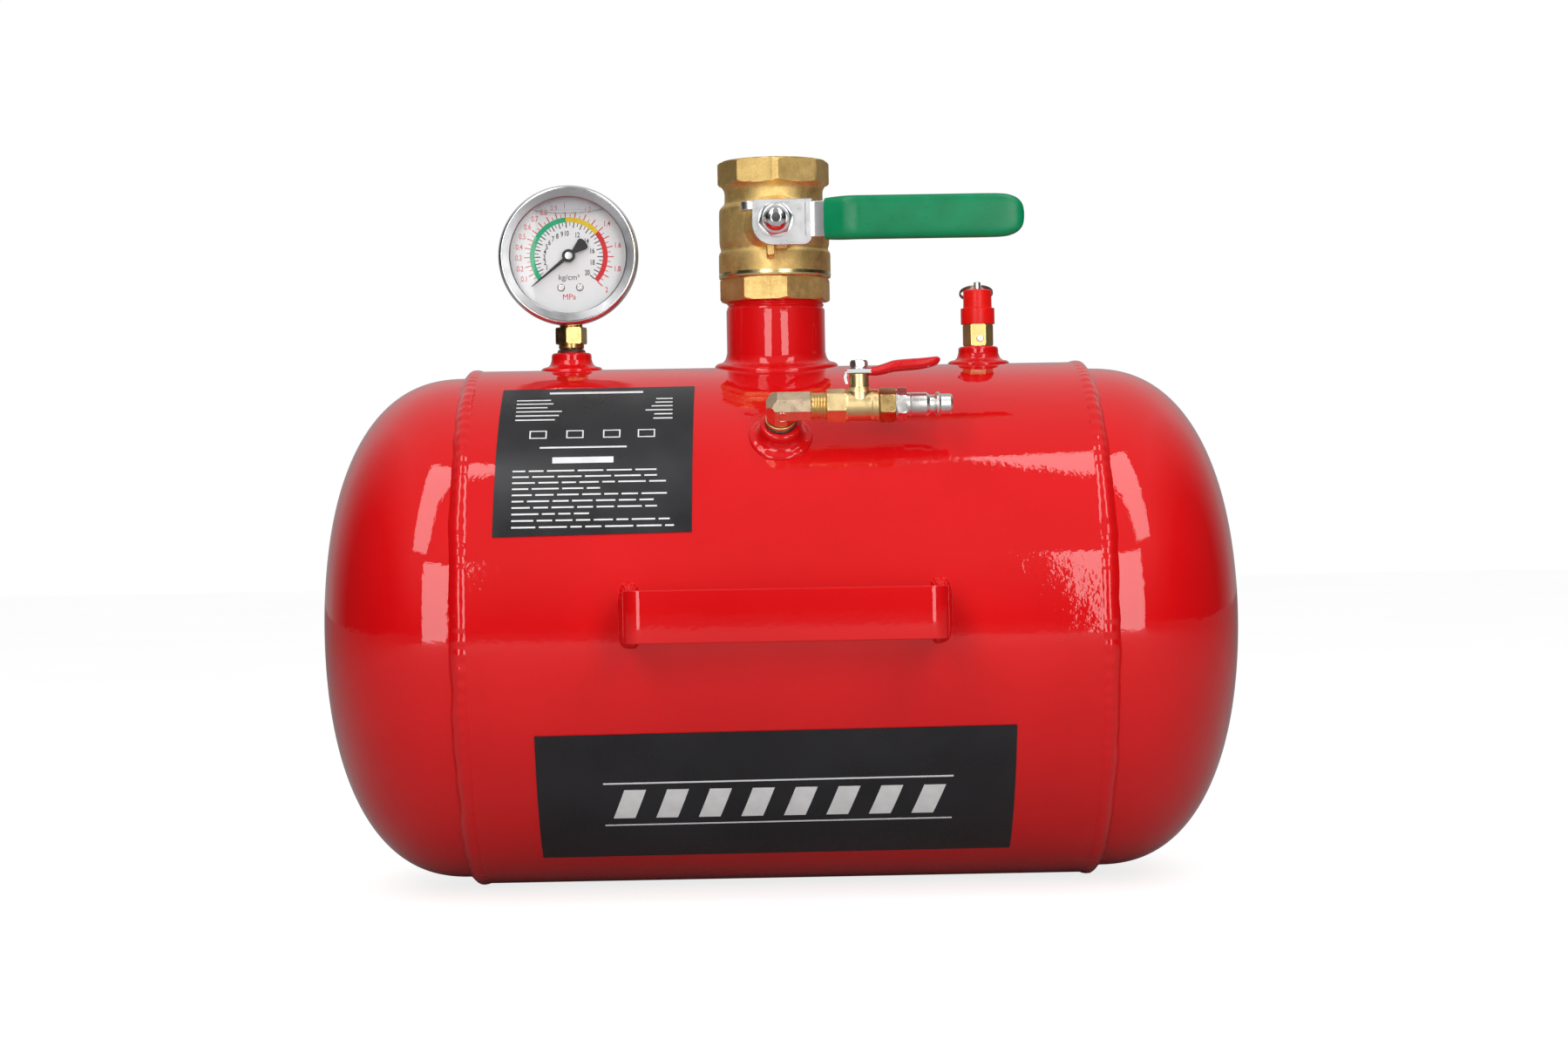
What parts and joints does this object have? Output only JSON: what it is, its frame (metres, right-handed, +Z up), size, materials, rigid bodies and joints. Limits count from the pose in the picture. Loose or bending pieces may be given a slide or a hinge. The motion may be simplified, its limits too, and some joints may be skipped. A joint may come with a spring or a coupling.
{
  "type": "bead seating air tank",
  "caption": "Horizontal steel air tank with dished ends, a lever ball valve on a neck, a pressure gauge, a pull-ring safety valve, an inlet valve with a plug coupler and a front handle.",
  "frame": {"origin": "bottom centre of the whole object, on the surface it rests on", "axes": "+X along the tank towards the safety valve, +Y to the back, away from the carry handle, +Z up along the outlet neck"},
  "size_m": [0.4406, 0.285, 0.3517],
  "materials": {
    "red_paint": "gloss enamel with a light orange peel",
    "brass": "fine blasted casting with machined faces",
    "zinc_plate": "satin zinc plate",
    "nickel_plate": "bright nickel plate",
    "chromed_ball": "polished",
    "white_plastic": "moulded and turned",
    "green_vinyl": "dipped vinyl, semi-gloss",
    "red_vinyl": "dipped or moulded, semi-gloss",
    "polished_steel": "polished stainless steel",
    "clear_lens": "clear, flat",
    "dial_white": "matt white paint with printed scales",
    "black_paint": "matt black",
    "black_rubber": "moulded",
    "dark_steel": "oiled spring steel",
    "label_film": "printed film, satin"
  },
  "bodies": {
    "tank": {"tank_shell": "red_paint", "left_head": "red_paint", "right_head": "red_paint", "left_girth_weld": "red_paint", "right_girth_weld": "red_paint", "outlet_neck": "red_paint", "neck_weld": "red_paint", "gauge_bung": "red_paint", "gauge_bung_weld": "red_paint", "safety_bung": "red_paint", "safety_bung_weld": "red_paint", "inlet_bung": "red_paint", "inlet_bung_weld": "red_paint", "carry_handle": "red_paint", "left_handle_weld": "red_paint", "right_handle_weld": "red_paint", "valve_body": "brass", "valve_end_cap": "brass", "gland_nut": "brass", "gauge_socket": "brass", "gauge_movement": "brass", "bourdon_tube": "brass", "inlet_elbow": "brass", "inlet_valve_body": "brass", "inlet_valve_insert": "brass", "safety_valve_body": "brass", "inlet_washer": "zinc_plate", "safety_screw": "zinc_plate", "coupler_plug": "nickel_plate", "upper_seat": "white_plastic", "lower_seat": "white_plastic", "stem_packing": "white_plastic", "inlet_front_seat": "white_plastic", "inlet_back_seat": "white_plastic", "safety_cap": "red_vinyl", "gauge_case": "polished_steel", "gauge_bezel": "polished_steel", "gauge_lens": "clear_lens", "gauge_dial": "dial_white", "gauge_fill_plug": "black_rubber", "safety_spring": "dark_steel", "data_label": "label_film", "front_label": "label_film"},
    "main_lever_set": {"valve_ball": "chromed_ball", "valve_stem": "zinc_plate", "main_lever": "zinc_plate", "lever_grip": "green_vinyl", "lever_nut": "zinc_plate"},
    "inlet_lever_set": {"inlet_ball": "chromed_ball", "inlet_stem": "zinc_plate", "inlet_lever": "zinc_plate", "inlet_lever_grip": "red_vinyl", "inlet_lever_nut": "zinc_plate"},
    "pointer_set": {"gauge_pointer": "black_paint", "pointer_arbor": "brass"},
    "sector": {"sector_gear": "brass"},
    "pull_rod": {"safety_rod": "zinc_plate", "safety_poppet": "brass"},
    "ring": {"pull_ring": "dark_steel"}
  },
  "joints": [
    {"name": "main_lever_turn", "type": "hinge", "parent": "tank", "child": "main_lever_set", "pos_m": [0, -0.0315, 0.3186], "axis": [0, -1, 0], "range_deg": [0, 90]},
    {"name": "inlet_lever_turn", "type": "hinge", "parent": "tank", "child": "inlet_lever_set", "pos_m": [0.0361, -0.0855, 0.22765], "axis": [0, 0, -1], "range_deg": [0, 90]},
    {"name": "pointer_sweep", "type": "hinge", "parent": "tank", "child": "pointer_set", "pos_m": [-0.1005, 0.0165, 0.3063], "axis": [0, 1, 0], "range_deg": [0, 260], "stiffness_Nm_per_rad": 0.0001, "springref_deg": -34.38},
    {"name": "sector_swing", "type": "hinge", "parent": "tank", "child": "sector", "pos_m": [-0.1005, 0.0165, 0.2899], "axis": [0, 1, 0], "range_deg": [-33, 0.5]},
    {"name": "rod_lift", "type": "slide", "parent": "tank", "child": "pull_rod", "axis": [0, 0, 1], "range_m": [0, 0.003], "stiffness_N_per_m": 1200, "springref_m": -0.01, "deforming": ["safety_spring"]},
    {"name": "ring_swing", "type": "hinge", "parent": "pull_rod", "child": "ring", "pos_m": [0.0994, 0.0165, 0.2891], "axis": [1, 0, 0], "range_deg": [0, 220]}
  ],
  "couplings": [
    {"joint": "sector_swing", "follows": "pointer_sweep", "ratio": -0.125}
  ]
}
